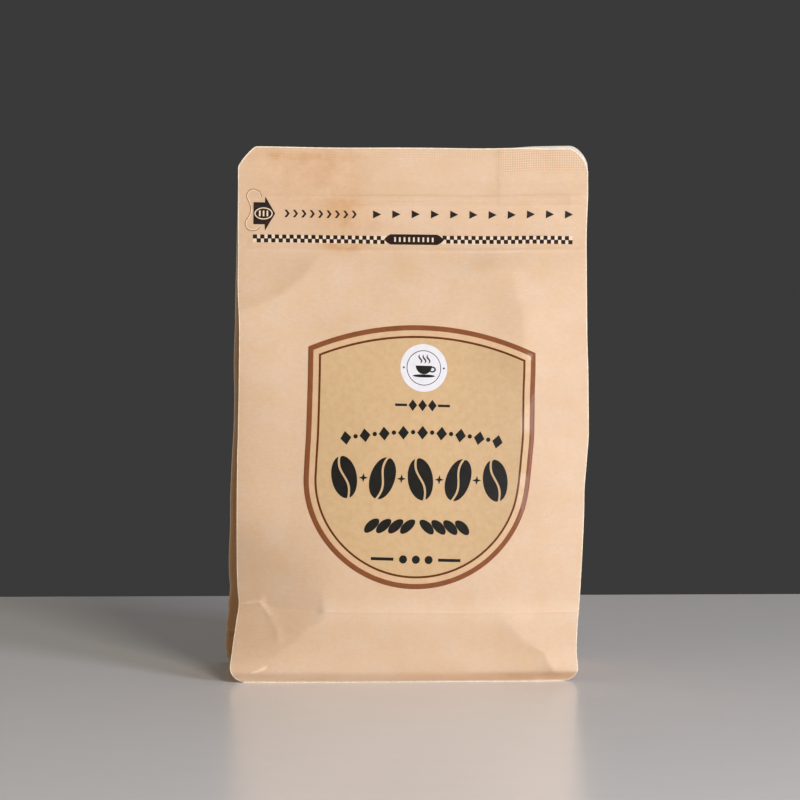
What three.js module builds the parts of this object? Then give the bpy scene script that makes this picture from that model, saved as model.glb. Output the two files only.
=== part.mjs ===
// Flat-bottom kraft coffee bag, shut and filled, with a shield-shaped paper
// label on its front panel. Millimetres, +Z up, front panel facing -Y, the
// floor at z = 0. The bag is a closed body: nothing inside it is modelled.
import * as THREE from "three";
import { mergeVertices } from "three/addons/utils/BufferGeometryUtils.js";

// Driving dimensions.
const STANDING_HEIGHT = 196;
const PANEL_WIDTH = 130;
const FIN_WIDTH = 4.6;          // sealed fin down each side of each panel
const FIN_THICKNESS = 0.6;
const TOP_CORNER_RADIUS = 6.2;
const BOTTOM_CORNER_RADIUS = FIN_WIDTH;
const TOP_SEAL_START = 183.5;   // above this all the layers are pressed flat
const LABEL_WIDTH = 84;
const LABEL_GAP = 0.35;         // air between the panel and the label's back
const LABEL_THICKNESS = 0.4;
const HALF_PANEL = PANEL_WIDTH / 2;
const FIN_ROOT = HALF_PANEL - FIN_WIDTH;

// Outer edges of the panels: the bag leans a little, so both edges are
// tabled against height as [z, x].
const LEFT_EDGE = [
  [0, -66.9], [5, -66.9], [12, -65.6], [21, -64.5], [28.5, -63.6], [34, -63.9],
  [45, -64.3], [63, -64.7], [80, -64.2], [92, -63.8], [110, -63.5], [128, -63.4],
  [143, -63.7], [158, -63.9], [183, -63.6], [STANDING_HEIGHT, -63.6],
];
const RIGHT_EDGE = [
  [0, 61.8], [5, 61.7], [12, 61.1], [21, 61.3], [29, 61.8], [45, 62.8],
  [63, 64.0], [70, 64.5], [80, 65.8], [92, 66.6], [110, 66.4], [128, 65.9],
  [143, 66.2], [158, 66.5], [183, 66.9], [STANDING_HEIGHT, 66.9],
];
// Distance of a panel from the middle plane, at its fin roots and down its
// centre line, as [z, depth].
const ROOT_DEPTH = [
  [0, 28.2], [5, 29], [29, 28.6], [58.7, 24.5], [93, 16.5], [127, 12.6],
  [146.6, 9], [168, 3], [181.5, 1], [TOP_SEAL_START, 0.5], [STANDING_HEIGHT, 0.5],
];
const CENTRE_DEPTH = [
  [0, 28.2], [4.4, 30.6], [11.7, 33], [34.2, 34.8], [58.7, 33], [93, 25.6],
  [127, 17.4], [146.6, 11.8], [168, 4], [181.5, 1], [TOP_SEAL_START, 0.5],
  [STANDING_HEIGHT, 0.5],
];
const BULGE_POWER = 2.2;
// The back panel is a little fuller than the front.
const BACK_FULLER = [[0, 0], [20, 0.75], [90, 0.75], [160, 0], [STANDING_HEIGHT, 0]];
// How far the middle fold of a side gusset lies inside the fin roots.
const GUSSET_INSET = [
  [0, 0.8], [10, 2.2], [19, 4.4], [35, 7], [58.7, 15], [93, 24], [127, 26.5],
  [146.6, 28], [168, 29.3], [181.5, 29.8],
];
// Sag of the top edge across the panel, as [s, drop].
const TOP_SAG = [
  [-65, 0.95], [-55, 1], [-30, 1.45], [2, 1.4], [24, 1.65], [35, 1.2], [46, 0.35],
  [58, 0], [65, 0],
];
const SAG_START = 120;

// Relief of the front panel. The underside fold inside the bag prints a level
// crease and two slanting corner creases: [s0, z0, s1, z1, height, width].
const FRONT_CREASES = [
  [-64, 29, -32, 26.5, 0.5, 2.6],
  [-32, 26.5, 64, 25.6, 0.7, 2.6],
  [53, 4, 34, 26, 0.6, 2.4],
  [-54, 10, -32, 26.5, 0.7, 2.4],
];
// Soft dents: [s, z, half width, half height, depth, lean in degrees].
const FRONT_DENTS = [
  [-47, 36, 15, 8, 2.1, -12],
  [-52, 136, 16, 5, 1.0, 28],
  [25, 145, 9, 18, 0.6, 0],
  [51, 8, 4, 7, 0.7, 0],
];
// Two welts of the pocket zipper across the front, as [z, height, half width].
const ZIPPER_WELTS = [[177.2, 0.35, 2.2], [157.6, 0.35, 1.8]];

// Sample lines across a panel (half of them, from the centre) and up the bag.
const ACROSS = [0, 5, 10, 15, 20.5, 26, 31, 36, 41, 46, 51, 56, FIN_ROOT, HALF_PANEL];
const LEVELS = [
  0, 0.7, 1.7, 3, FIN_WIDTH, 7.5, 11, 15, 19, 23, 26, 29, 32.5, 37, 42, 47.5, 53,
  59, 66, 73, 80, 87, 94, 101, 108, 115, 122, 129, 136, 142, 148, 153, 155.5,
  157.6, 159.7, 164, 169, 173.5, 175.5, 177.2, 179, 181.5, TOP_SEAL_START, 186.5,
  STANDING_HEIGHT - TOP_CORNER_RADIUS, 191.6, 193.4, 194.7, STANDING_HEIGHT,
];
// Rings of the underside, from the outline inwards: [inset, z]. The seams of
// the bottom panel stand on the floor, then a shallow channel, then the pad
// that carries the bag.
const UNDERSIDE = [[1.1, 0], [1.7, 2.2], [7.5, 1.6], [9.5, 0]];

// Label outline in its own plane: a shallow arch on top, straight sides and
// half an ellipse below, turned a little clockwise.
const LABEL_CENTRE = [1.4, 76.5];
const LABEL_TURN = -1.45 * Math.PI / 180;
const LABEL_SHOULDER = 44.8;    // corner line above the label's centre
const LABEL_ARCH = 9;
const LABEL_SIDE = 46.4;        // straight side below the corner line
const LABEL_TOE = 39.9;         // half ellipse below that
const LABEL_RINGS = [1, 0.84, 0.68, 0.52, 0.36, 0.2];

// Monotone cubic through a table of [x, y] rows.
function curve(table, x) {
  const last = table.length - 1;
  const at = Math.min(Math.max(x, table[0][0]), table[last][0]);
  const slope = (i) => (table[i + 1][1] - table[i][1]) / (table[i + 1][0] - table[i][0]);
  const tangent = (i) => {
    if (i === 0) return slope(0);
    if (i === last) return slope(last - 1);
    const before = slope(i - 1);
    const after = slope(i);
    return before * after <= 0 ? 0 : (2 * before * after) / (before + after);
  };
  let i = 0;
  while (i < last - 1 && at > table[i + 1][0]) i += 1;
  const span = table[i + 1][0] - table[i][0];
  const t = (at - table[i][0]) / span;
  const t2 = t * t;
  const t3 = t2 * t;
  return (2 * t3 - 3 * t2 + 1) * table[i][1] + (t3 - 2 * t2 + t) * span * tangent(i)
    + (3 * t2 - 2 * t3) * table[i + 1][1] + (t3 - t2) * span * tangent(i + 1);
}

// Half width of a panel at height z, with its corners rounded.
function halfWidth(z) {
  if (z < BOTTOM_CORNER_RADIUS) {
    const rise = BOTTOM_CORNER_RADIUS - z;
    return HALF_PANEL - BOTTOM_CORNER_RADIUS
      + Math.sqrt(Math.max(BOTTOM_CORNER_RADIUS ** 2 - rise * rise, 0));
  }
  const above = z - (STANDING_HEIGHT - TOP_CORNER_RADIUS);
  if (above <= 0) return HALF_PANEL;
  return HALF_PANEL - TOP_CORNER_RADIUS
    + Math.sqrt(Math.max(TOP_CORNER_RADIUS ** 2 - above * above, 0));
}

// Sample line s moved inwards where the panel's corners are rounded.
function trimmed(s, z) {
  const size = Math.abs(s);
  const width = halfWidth(z);
  if (z < BOTTOM_CORNER_RADIUS) return Math.sign(s) * Math.min(size, width);
  const inner = ACROSS[ACROSS.length - 3];
  if (size <= inner) return s;
  return Math.sign(s) * (inner + (size - inner) * (width - inner) / (HALF_PANEL - inner));
}

function creaseHeight(s, z) {
  let sum = 0;
  for (const [s0, z0, s1, z1, height, width] of FRONT_CREASES) {
    const ds = s1 - s0;
    const dz = z1 - z0;
    const along = ((s - s0) * ds + (z - z0) * dz) / (ds * ds + dz * dz);
    const t = Math.min(Math.max(along, 0), 1);
    sum = Math.max(sum, height * Math.exp(-Math.hypot(s - s0 - t * ds, z - z0 - t * dz) / width));
  }
  return sum;
}

function dentDepth(s, z) {
  let sum = 0;
  for (const [s0, z0, wide, high, depth, lean] of FRONT_DENTS) {
    const angle = lean * Math.PI / 180;
    const u = (s - s0) * Math.cos(angle) + (z - z0) * Math.sin(angle);
    const v = (z - z0) * Math.cos(angle) - (s - s0) * Math.sin(angle);
    sum += depth * Math.exp(-((u / wide) ** 2) - (v / high) ** 2);
  }
  return sum;
}

function panelDepth(s, z) {
  const root = curve(ROOT_DEPTH, z);
  const swell = curve(CENTRE_DEPTH, z) - root;
  const q = Math.abs(s) / FIN_ROOT;
  return q <= 1 ? root + swell * (1 - q ** BULGE_POWER) : root - swell * BULGE_POWER * (q - 1);
}

function frontDepth(s, z) {
  let depth = panelDepth(s, z) + creaseHeight(s, z) - dentDepth(s, z);
  for (const [at, height, half] of ZIPPER_WELTS) {
    depth += height * Math.exp(-(((z - at) / half) ** 2));
  }
  return depth;
}

function backDepth(s, z) {
  const q = Math.min(Math.abs(s) / FIN_ROOT, 1);
  return panelDepth(s, z) + curve(BACK_FULLER, z) * (1 - q * q);
}

// Point of the bag at panel line s, height z and depth y.
function bagPoint(s, z, y) {
  const left = curve(LEFT_EDGE, z);
  const right = curve(RIGHT_EDGE, z);
  const x = (left + right) / 2 + s * (right - left) / PANEL_WIDTH;
  const ramp = Math.max(z - SAG_START, 0) / (STANDING_HEIGHT - SAG_START);
  return [x, y, z - curve(TOP_SAG, s) * ramp * ramp];
}

// One ring round the bag at height z: front panel left to right, right
// gusset, back panel right to left, left gusset.
function bagRing(z) {
  const lines = [...ACROSS.slice(1).map((s) => -s).reverse(), ...ACROSS];
  const ring = lines.map((s) => {
    const at = trimmed(s, z);
    return bagPoint(at, z, -frontDepth(at, z));
  });
  const back = lines.map((s) => {
    const at = trimmed(s, z);
    return bagPoint(at, z, backDepth(at, z));
  }).reverse();
  const side = (sign) => {
    const edge = trimmed(sign * HALF_PANEL, z);
    if (z >= TOP_SEAL_START) return Array(7).fill(bagPoint(edge, z, 0));
    const root = sign * FIN_ROOT;
    const inner = (depth) => Math.max(depth - FIN_THICKNESS, 0.2);
    const fold = root - sign * curve(GUSSET_INSET, z);
    const frontRoot = inner(frontDepth(root, z));
    const backRoot = inner(backDepth(root, z));
    const half = (root + fold) / 2;
    return [
      bagPoint(edge, z, -inner(frontDepth(edge, z))),
      bagPoint(root, z, -frontRoot),
      bagPoint(half, z, -frontRoot / 2),
      bagPoint(fold, z, 0),
      bagPoint(half, z, backRoot / 2),
      bagPoint(root, z, backRoot),
      bagPoint(edge, z, inner(backDepth(edge, z))),
    ];
  };
  return [...ring, ...side(1), ...back, ...side(-1).reverse()];
}

// The same ring drawn in towards the middle for the underside.
function insetRing(ring, inset, z) {
  const xs = ring.map((p) => p[0]);
  const middle = (Math.min(...xs) + Math.max(...xs)) / 2;
  const reach = Math.max(...xs) - middle;
  const deep = Math.max(...ring.map((p) => Math.abs(p[1])));
  return ring.map(([x, y]) => [
    middle + (x - middle) * (1 - inset / reach), y * (1 - inset / deep), z,
  ]);
}

// Closed skin through a stack of equal rings. The end rings are filled by
// joining each point to its opposite one.
function skin(rings, split) {
  const count = rings[0].length;
  const position = [];
  const put = (...points) => points.forEach((p) => position.push(...p));
  for (let k = 0; k + 1 < rings.length; k += 1) {
    for (let i = 0; i < count; i += 1) {
      const j = (i + 1) % count;
      put(rings[k][i], rings[k][j], rings[k + 1][j]);
      put(rings[k][i], rings[k + 1][j], rings[k + 1][i]);
    }
  }
  const fill = (ring, up) => {
    // Opposite pairs, working in from the split point at both ends.
    const pair = (n) => [ring[(split + n) % count], ring[(split - 1 - n + 2 * count) % count]];
    for (let n = 0; n < count / 2 - 1; n += 1) {
      const [a, b] = pair(n);
      const [c, d] = pair(n + 1);
      if (up) put(a, c, d, a, d, b);
      else put(a, d, c, a, b, d);
    }
  };
  fill(rings[0], false);
  fill(rings[rings.length - 1], true);
  return solidGeometry(position);
}

// Welded, indexed geometry without collapsed triangles.
function solidGeometry(position) {
  const loose = new THREE.BufferGeometry();
  loose.setAttribute("position", new THREE.Float32BufferAttribute(position, 3));
  const welded = mergeVertices(loose, 1e-4);
  const index = [];
  const source = welded.index.array;
  for (let i = 0; i < source.length; i += 3) {
    const [a, b, c] = [source[i], source[i + 1], source[i + 2]];
    if (a !== b && b !== c && c !== a) index.push(a, b, c);
  }
  welded.setIndex(index);
  welded.computeVertexNormals();
  return welded;
}

function bagGeometry() {
  const up = LEVELS.map(bagRing);
  const under = UNDERSIDE.map(([inset, z]) => insetRing(up[0], inset, z)).reverse();
  // The gusset's seven points sit between the panels, so the pairs start at
  // the middle fold of the left gusset.
  const panel = ACROSS.length * 2 - 1;
  return skin([...under, ...up], 2 * panel + 11);
}

// Flat label point (u across, v up) laid on the front panel at a given
// distance off it.
function labelPoint(u, v, off) {
  const su = u * Math.cos(LABEL_TURN) - v * Math.sin(LABEL_TURN);
  const sv = u * Math.sin(LABEL_TURN) + v * Math.cos(LABEL_TURN);
  const s = LABEL_CENTRE[0] + su;
  const z = LABEL_CENTRE[1] + sv;
  const surface = (a, b) => new THREE.Vector3(...bagPoint(a, b, -frontDepth(a, b)));
  const step = 1;
  const across = surface(s + step, z).sub(surface(s - step, z));
  const along = surface(s, z + step).sub(surface(s, z - step));
  const normal = across.cross(along).normalize();
  return surface(s, z).addScaledVector(normal, off).toArray();
}

function labelOutline() {
  const half = LABEL_WIDTH / 2;
  const archRadius = (half * half + LABEL_ARCH * LABEL_ARCH) / (2 * LABEL_ARCH);
  const outline = [];
  const ARCH_STEPS = 20;
  const SIDE_STEPS = 9;
  const TOE_STEPS = 32;
  for (let i = 0; i < ARCH_STEPS; i += 1) {
    const u = half - LABEL_WIDTH * i / ARCH_STEPS;
    const rise = Math.sqrt(archRadius * archRadius - u * u) - (archRadius - LABEL_ARCH);
    outline.push([u, LABEL_SHOULDER + rise]);
  }
  for (let i = 0; i < SIDE_STEPS; i += 1) {
    outline.push([-half, LABEL_SHOULDER - LABEL_SIDE * i / SIDE_STEPS]);
  }
  for (let i = 0; i <= TOE_STEPS; i += 1) {
    const angle = Math.PI * (1 + i / TOE_STEPS);
    outline.push([half * Math.cos(angle),
      LABEL_SHOULDER - LABEL_SIDE + LABEL_TOE * Math.sin(angle)]);
  }
  for (let i = 1; i < SIDE_STEPS; i += 1) {
    outline.push([half, LABEL_SHOULDER - LABEL_SIDE + LABEL_SIDE * i / SIDE_STEPS]);
  }
  return outline;
}

function labelGeometry() {
  const outline = labelOutline();
  const count = outline.length;
  const face = (off) => ({
    rings: LABEL_RINGS.map((k) => outline.map(([u, v]) => labelPoint(u * k, v * k, off))),
    centre: labelPoint(0, 0, off),
  });
  const outside = face(LABEL_GAP + LABEL_THICKNESS);
  const inside = face(LABEL_GAP);
  const position = [];
  const put = (...points) => points.forEach((p) => position.push(...p));
  const last = LABEL_RINGS.length - 1;
  for (let i = 0; i < count; i += 1) {
    const j = (i + 1) % count;
    for (let k = 0; k < last; k += 1) {
      const [a, b] = [outside.rings[k], outside.rings[k + 1]];
      put(a[i], a[j], b[j], a[i], b[j], b[i]);
      const [c, d] = [inside.rings[k], inside.rings[k + 1]];
      put(c[i], d[j], c[j], c[i], d[i], d[j]);
    }
    put(outside.rings[last][i], outside.rings[last][j], outside.centre);
    put(inside.rings[last][i], inside.centre, inside.rings[last][j]);
    const [o, n] = [outside.rings[0], inside.rings[0]];
    put(o[i], n[i], n[j], o[i], n[j], o[j]);
  }
  return solidGeometry(position);
}

function node(name, geometry, color, roughness) {
  const material = new THREE.MeshStandardMaterial({ color, roughness, metalness: 0 });
  material.name = `${name}_paper`;
  const mesh = new THREE.Mesh(geometry, material);
  mesh.name = name;
  return mesh;
}

const group = new THREE.Group();
group.name = "coffee_bag";
group.add(node("bag_body", bagGeometry(), "#e0bd9b", 0.75));
group.add(node("front_label", labelGeometry(), "#d8b68e", 0.45));

export default group;
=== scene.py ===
import math
import random
import bmesh
import bpy
import numpy as np
from mathutils import Matrix, Vector


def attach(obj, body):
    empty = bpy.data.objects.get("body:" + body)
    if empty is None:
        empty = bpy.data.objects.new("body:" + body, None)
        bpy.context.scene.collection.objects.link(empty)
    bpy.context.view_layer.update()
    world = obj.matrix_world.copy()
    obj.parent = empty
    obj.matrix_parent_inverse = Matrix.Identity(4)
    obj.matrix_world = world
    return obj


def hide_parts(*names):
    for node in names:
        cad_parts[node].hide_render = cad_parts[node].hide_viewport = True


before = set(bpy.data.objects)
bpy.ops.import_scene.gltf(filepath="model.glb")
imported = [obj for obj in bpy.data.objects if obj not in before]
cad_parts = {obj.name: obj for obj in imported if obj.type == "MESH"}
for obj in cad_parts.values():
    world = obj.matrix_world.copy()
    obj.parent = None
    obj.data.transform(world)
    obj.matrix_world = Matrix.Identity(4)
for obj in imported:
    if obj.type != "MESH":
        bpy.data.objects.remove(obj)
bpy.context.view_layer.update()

# ------------------------------------------------------------
# Front panel. A die-cut sheet of kraft paper laminated to a white film, with a
# heat-sealed fin down each side and a flat seal on top. The filled bag pushes
# it out below, and the seals hold its edges in.
# ------------------------------------------------------------
# Lengths are millimetres until a mesh is made. A place on a panel is (s, z):
# s runs across the flat sheet from its centre line, and z is its height.
HEIGHT = 196.0
HALF = 65.0                  # half the panel's width, fins included
ROOT = 60.4                  # where a side fin starts
FRONT_FOOT = {-1: 5.8, 1: 4.9}   # radii of the foot corners: -1 is left, 1 is right
REAR_FOOT = {-1: 3.0, 1: 3.0}
TOP_CUT = (6.5, 7.6)         # the top corners are cut off, width and height
TOP_BOW = {-1: 1.2, 1: 1.6}  # how far each cut bows out: 1 is straight, 2 is round
SEAL_START = 183.5           # all the layers are pressed flat above this
SHEET = 0.24                 # thickness of one laminate sheet

# Each table below lists [height, value], but the last lists [s, value].
LEFT_EDGE = [                # x of the panels' left and right edges
    [0, -66.9], [5, -66.9], [12, -65.85], [21, -64.35], [28.5, -63.25], [34, -63.75], [45, -64.1],
    [63, -64.45], [80, -64.2], [92, -63.8], [110, -63.5], [128, -63.4], [143, -63.7],
    [158, -63.35], [183, -63.15], [HEIGHT, -63.15]]
RIGHT_EDGE = [
    [0, 61.3], [5, 61.1], [12, 60.7], [21, 61.1], [29, 61.7], [45, 62.8], [63, 63.9],
    [70, 64.2], [80, 65.3], [92, 66.3], [110, 66.2], [128, 65.75], [143, 65.8],
    [158, 66.1], [183, 67.0], [HEIGHT, 67.0]]
REAR_LEFT = [                # how far in the left rear fin stands from the front one
    [0, 2.1], [3, 2.1], [6, 1.66], [9.7, 1.08], [11.5, 0.97], [13.4, 0.75], [15.5, 0.36],
    [18.9, 0.36], [21, 0.05], [23, -0.26], [28.5, -0.35], [41, -0.2], [54, 0.4], [70, 0.42],
    [86, 0.55], [101, 0.4], [116, -0.1], [129, 0.1], [146, 0.55], [165, 0.2], [HEIGHT, 0.2]]
# How far the sheet stands from the bag's mid plane, at a fin's root and in the centre.
ROOT_DEPTH = [
    [0, 28.2], [5, 29], [29, 28.6], [58.7, 24.5], [93, 16.5], [127, 12.6],
    [146.6, 9], [168, 3], [181.5, 1], [SEAL_START, 0.5], [HEIGHT, 0.5]]
CENTRE_DEPTH = [
    [0, 28.8], [4.4, 31.45], [11.7, 33.2], [34.2, 34.8], [58.7, 33], [93, 25.6],
    [127, 17.4], [146.6, 11.8], [168, 4], [181.5, 1], [SEAL_START, 0.5], [HEIGHT, 0.5]]
TOP_SAG = [                  # how far the top edge sags, across the sheet
    [-65, 0.85], [-55, 0.8], [-30, 1.05], [2, 0.85], [24, 0.95], [35, 0.7], [46, 0.0],
    [58, -0.25], [65, -0.25]]


def curve(table, x):
    """Smooth curve through a table of [x, y] rows, without overshoot."""
    xs, ys = np.array(table, float).T
    slope = np.diff(ys) / np.diff(xs)
    tangent = np.zeros(len(xs))
    tangent[0], tangent[-1] = slope[0], slope[-1]
    same = slope[:-1] * slope[1:] > 0
    tangent[1:-1][same] = 2 * (slope[:-1] * slope[1:])[same] / (slope[:-1] + slope[1:])[same]
    x = np.clip(np.asarray(x, float), xs[0], xs[-1])
    i = np.clip(np.searchsorted(xs, x) - 1, 0, len(xs) - 2)
    span = xs[i + 1] - xs[i]
    t = (x - xs[i]) / span
    return ((2 * t**3 - 3 * t**2 + 1) * ys[i] + (t**3 - 2 * t**2 + t) * span * tangent[i]
            + (3 * t**2 - 2 * t**3) * ys[i + 1] + (t**3 - t**2) * span * tangent[i + 1])


def smooth(low, high, x):
    """Eases from 0 at low to 1 at high; low may be the larger of the two."""
    t = np.clip((np.asarray(x, float) - low) / (high - low), 0, 1)
    return t * t * (3 - 2 * t)


def half_width(z, inset, foot, bow):
    """Half width of a panel at height z: round foot corners, blunt top ones."""
    low = np.clip((foot - z + 0.7 * inset) / foot, 0, 1)
    high = np.clip((z - HEIGHT + TOP_CUT[1] + 0.7 * inset) / TOP_CUT[1], 0, 1)
    lower = foot * (1 - np.sqrt(1 - low**2))
    upper = TOP_CUT[0] * (1 - (1 - high**bow)**(1 / bow))
    return HALF - inset - np.maximum(lower, upper)


def drawn_in(s, z, y):
    """How far the bag's left rear corner is pulled inwards."""
    return curve(REAR_LEFT, z) * smooth(0, 14, y) * smooth(-20, -62, s)


def place(s, z, y):
    """Point of the bag at sheet line s, height z and depth y."""
    left, right = curve(LEFT_EDGE, z), curve(RIGHT_EDGE, z)
    x = (left + right) / 2 + s * (right - left) / (2 * HALF)
    x = x + drawn_in(s, z, y)
    ramp = np.maximum(z - 120, 0) / (HEIGHT - 120)
    return np.stack([x, y + 0 * x, z - curve(TOP_SAG, s) * ramp**1.2], -1)


def swell(s, z):
    """How far the filled panel stands out, fullest on its centre line."""
    root = curve(ROOT_DEPTH, z)
    rise = curve(CENTRE_DEPTH, z) - root
    q = np.abs(s) / ROOT
    return np.where(q <= 1, root + rise * (1 - q**2.2), root - rise * 2.2 * (q - 1))


def to_path(s, z, points):
    """How far (s, z) lies from a polyline, how far along it (0 to 1), and on
    which side of its direction: 1 is left, -1 is right."""
    best, along, side = np.full(np.shape(s), 1e9), np.zeros(np.shape(s)), np.zeros(np.shape(s))
    lengths = [math.dist(a, b) for a, b in zip(points, points[1:])]
    done = 0.0
    for (s0, z0), (s1, z1), length in zip(points, points[1:], lengths):
        ds, dz = s1 - s0, z1 - z0
        t = np.clip(((s - s0) * ds + (z - z0) * dz) / length**2, 0, 1)
        gap = np.hypot(s - s0 - t * ds, z - z0 - t * dz)
        closer = gap < best
        best = np.where(closer, gap, best)
        along = np.where(closer, (done + t * length) / sum(lengths), along)
        side = np.where(closer, np.where(ds * (z - z0) > dz * (s - s0), 1, -1), side)
        done += length
    return best, along, side


def faded(along, fade):
    """Dies out over the share fade of a path at both ends; 0 keeps it full."""
    return smooth(0, fade, along) * smooth(0, fade, 1 - along) if fade else 1.0


def ridge(s, z, points, height, width, fade=0.12):
    """A crease line with a sharp crest."""
    gap, along, _ = to_path(s, z, points)
    return height * np.exp(-gap / width) * faded(along, fade)


def fold(s, z, points, height, before, behind, fade=0.12, crest=0.15):
    """A softer crease whose two flanks differ: before is the width on the left
    of the path's direction, behind the width on its right. crest rounds its top."""
    gap, along, side = to_path(s, z, points)
    gap = np.hypot(gap, crest) - crest
    return height * faded(along, fade) * np.exp(-gap / np.where(side > 0, before, behind))


def dent(s, z, s0, z0, wide, high, lean=0.0):
    """A soft oval spot about (s0, z0), 1 in its middle, turned by lean degrees."""
    a = math.radians(lean)
    u = (s - s0) * math.cos(a) + (z - z0) * math.sin(a)
    v = (z - z0) * math.cos(a) - (s - s0) * math.sin(a)
    return np.exp(-(u / wide)**2 - (v / high)**2)


def ripple(s, z, seed, size, count=14):
    """Slight buckling of the paper: waves in random directions, about size long."""
    rng = random.Random(seed)
    total = np.zeros(np.shape(s))
    for _ in range(count):
        angle, phase = rng.uniform(0, math.pi), rng.uniform(0, 2 * math.pi)
        k = 2 * math.pi / (size * rng.uniform(0.7, 1.5))
        total += np.sin(k * (s * math.cos(angle) + z * math.sin(angle)) + phase)
    return total / math.sqrt(count)


# Creases and folds of the front panel, each a line of (s, z) points.
LEVEL_CREASE = [(-33.4, 26.7), (10, 26.4), (65, 25.9)]
KINK = [(-65, 28.2), (-57.1, 29.4), (-53.1, 24.8), (-50.2, 20.4), (-47.6, 13.5)]
VALLEY = [(-57.1, 29.2), (-52.6, 27.2), (-45.9, 27.2), (-39.8, 26.9), (-33.4, 26.7)]
WEDGE_EDGE = [                # right border, in s, of the hollow lower left flank
    [0, -57], [8.6, -50], [18.9, -39.4], [25.4, -33.2], [30.9, -33.9], [52.6, -39.2],
    [75, -46], [95, -60], [196, -66]]
RIGHT_CORNER = [
    (30, 25), (37.4, 21.5), (45.7, 14.9), (52.8, 11.0), (53.3, 8.6), (55.2, 4.8), (56, 3)]
SLACK_FOLD = [
    (29.5, 160), (30.9, 154.3), (35.6, 148.8), (38.9, 143.2), (41, 135.9), (41, 126), (40, 108)]
FAINT_FOLD = [(4, 122), (24, 145), (34, 158)]
LEFT_FOLD = [(-85, 126), (-50, 141), (-40, 149), (-34, 157), (-30, 164)]
TOP_CORNER_FOLD = [(54.5, 190), (55.4, 185.5), (58.3, 178.1), (59, 172)]
TOE_CREASE = [(-56.6, 4.0), (-54.6, 4.6), (-52.0, 5.8)]
ZIPPER_BAND = (157.0, 167.5)     # the pocket zipper stands out here from behind
WELTS = ((177.6, 0.46), (175.2, 0.34), (157.8, 0.32))    # (height, how proud)


def common_relief(s, z):
    """Relief that both big panels share: fin roots, zipper and top seal."""
    size = np.abs(s)
    out = -0.02 * np.exp(-((size - ROOT) / 1.2)**2) * smooth(3, 8, z) * smooth(186, 180, z)
    low, high = ZIPPER_BAND
    out += 0.18 * smooth(low, low + 1.2, z) * smooth(high, high - 1.5, z) * smooth(62, 59, size)
    for at, height in WELTS:
        out += (height * np.exp(-((z - at) / 0.55)**2) * smooth(64.5, 62, size)
                * (0.4 + 0.6 * smooth(-38, -15, s)))
    out += 0.3 * np.exp(-((z - 176.5) / 3.0)**2)
    return out


def front_relief(s, z):
    out = common_relief(s, z)
    # The right gusset's fold ends inside the seal and prints an upright line.
    out += 0.32 * smooth(30.2, 32.4, s) * smooth(166, 182, z)
    out += ridge(s, z, LEVEL_CREASE, 0.30, 2.6, 0) + ridge(s, z, LEVEL_CREASE, 0.16, 0.4, 0)
    # The lower left flank has caved in: it falls away from a bent border.
    inside = curve(WEDGE_EDGE, z) - s
    soft = 0.8 + 7 * smooth(28, 70, z)
    inside = soft * np.logaddexp(0, inside / soft)
    out -= 0.22 * inside * smooth(3, 16, z) * smooth(76, 36, z)
    out += ridge(s, z, KINK, 0.42, 1.0)
    out -= fold(s, z, VALLEY, 0.45, 4.0, 2.5, 0.1)
    # Above it the left flank is flat, because the gusset behind pushes it out.
    out += 3.6 * smooth(-36, -68, s) * smooth(38, 66, z) * smooth(165, 118, z)
    # Right corner: the sheet folds over a diagonal and faces the right below it.
    out += fold(s, z, RIGHT_CORNER, 1.9, 6.0, 12.0, 0) * smooth(27, 44, s) * smooth(0.5, 7, z)
    out += fold(s, z, RIGHT_CORNER[2:], 0.5, 1.2, 1.6, 0.2)
    out += ridge(s, z, TOE_CREASE, 0.35, 0.8)
    out += fold(s, z, TOP_CORNER_FOLD, 0.35, 1.2, 5, 0.25)
    # The foot is drawn in under a stiff line just above the bottom seam.
    across = np.minimum(np.abs(s) / ROOT, 1)**2
    out += (0.15 + 1.3 * across) * smooth(0.3, 4.4, z) * np.exp(-np.maximum(z - 4.4, 0) / 8)
    # Soft folds where the empty upper part of the bag gives way.
    out += fold(s, z, LEFT_FOLD, 1.5, 6, 12, 0.3)
    out += fold(s, z, SLACK_FOLD, 3.2, 8, 11, 0, 3.0) * smooth(162, 150, z) * smooth(103, 120, z)
    out += fold(s, z, FAINT_FOLD, 0.3, 6, 6, 0.4, 1.4)
    out -= 0.35 * dent(s, z, 56.5, 85, 3.5, 6, 20)
    out += 0.05 * ripple(s, z, 4, 34) + 0.018 * ripple(s, z, 9, 9)
    return out


def lifted(surface, s, z, off, facing=1):
    """Point of a curved surface at (s, z), off millimetres out along its normal."""
    s, z = np.broadcast_arrays(np.asarray(s, float), np.asarray(z, float))
    step = 0.3
    normal = facing * np.cross(surface(s + step, z) - surface(s - step, z),
                               surface(s, z + step) - surface(s, z - step))
    normal /= np.linalg.norm(normal, axis=-1, keepdims=True)
    return surface(s, z) + normal * np.asarray(off)[..., None]


def front_point(s, z, off=0.0):
    return lifted(lambda a, b: place(a, b, -(swell(a, b) + front_relief(a, b))), s, z, off)


def spaced(*spans):
    """Sample positions from (start, end, step) spans laid end to end."""
    out = [spans[0][0]]
    for start, end, step in spans:
        count = max(1, round((end - start) / step))
        out += [start + (end - start) * (i + 1) / count for i in range(count)]
    return np.array(out)


# Grid lines of a big panel, closer where creases need them.
ROWS = spaced((0, 5, 0.45), (5, 9.5, 0.75), (9.5, 13, 0.4), (13, 24.5, 0.85), (24.5, 29, 0.3),
              (29, 56, 0.95), (56, 150, 1.35), (150, 156.5, 0.8), (156.5, 159, 0.3),
              (159, 174, 0.9), (174, 179, 0.35), (179, 189, 0.8), (189, HEIGHT, 0.45))
SIDE = spaced((0, 31, 1.25), (31, 32, 0.35), (32, 58, 1.0), (58, 62, 0.4), (62, HALF, 0.5))
COLUMNS = np.concatenate([-SIDE[:0:-1], SIDE])
STRAIGHT = 54                # columns further out than this follow the rounded corners


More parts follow.
